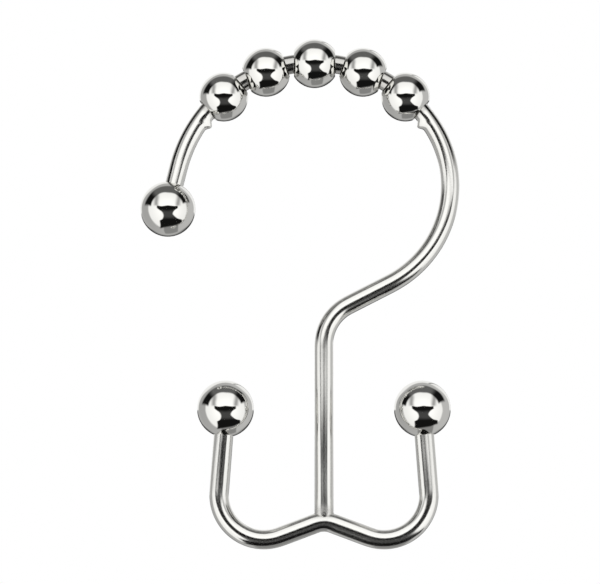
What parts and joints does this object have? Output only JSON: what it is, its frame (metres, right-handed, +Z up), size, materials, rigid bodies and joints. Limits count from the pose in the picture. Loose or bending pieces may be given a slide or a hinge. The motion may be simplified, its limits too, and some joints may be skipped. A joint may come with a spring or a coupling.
{
  "type": "shower curtain hook",
  "caption": "Bent wire double hook with a row of loose roller balls on its top arc and a ball on each free end, hung over a rod to carry a curtain and a liner.",
  "frame": {"origin": "where the top of the rod bears under the middle roller ball", "axes": "+Z up, the hook lies in the XZ plane, +Y along the rod to the back, the open mouth and the tip ball on the -X side"},
  "size_m": [0.0526, 0.0094, 0.0843],
  "materials": {
    "hanger_wire": "polished",
    "double_hook_wire": "polished",
    "roller_balls": "mirror polished",
    "end_balls": "mirror polished"
  },
  "bodies": {
    "hook_frame": {"hanger_wire": "hanger_wire", "double_hook_wire": "double_hook_wire", "tip_ball": "end_balls", "hook_ball_left": "end_balls", "hook_ball_right": "end_balls"},
    "roller_1": {"roller_ball_1": "roller_balls"},
    "roller_2": {"roller_ball_2": "roller_balls"},
    "roller_3": {"roller_ball_3": "roller_balls"},
    "roller_4": {"roller_ball_4": "roller_balls"},
    "roller_5": {"roller_ball_5": "roller_balls"}
  },
  "joints": [
    {"name": "roller_1_spin", "type": "hinge", "parent": "hook_frame", "child": "roller_1", "pos_m": [-0.01503, 0, -0.00156], "axis": [0.7552, 0, 0.6555], "continuous": true},
    {"name": "roller_2_spin", "type": "hinge", "parent": "hook_frame", "child": "roller_2", "pos_m": [-0.00802, 0, 0.0026], "axis": [0.9368, 0, 0.3499], "continuous": true},
    {"name": "roller_3_spin", "type": "hinge", "parent": "hook_frame", "child": "roller_3", "pos_m": [0, 0, 0.00405], "axis": [1, 0, 0], "continuous": true},
    {"name": "roller_4_spin", "type": "hinge", "parent": "hook_frame", "child": "roller_4", "pos_m": [0.00802, 0, 0.0026], "axis": [0.9368, 0, -0.3499], "continuous": true},
    {"name": "roller_5_spin", "type": "hinge", "parent": "hook_frame", "child": "roller_5", "pos_m": [0.01503, 0, -0.00156], "axis": [0.7552, 0, -0.6555], "continuous": true}
  ]
}
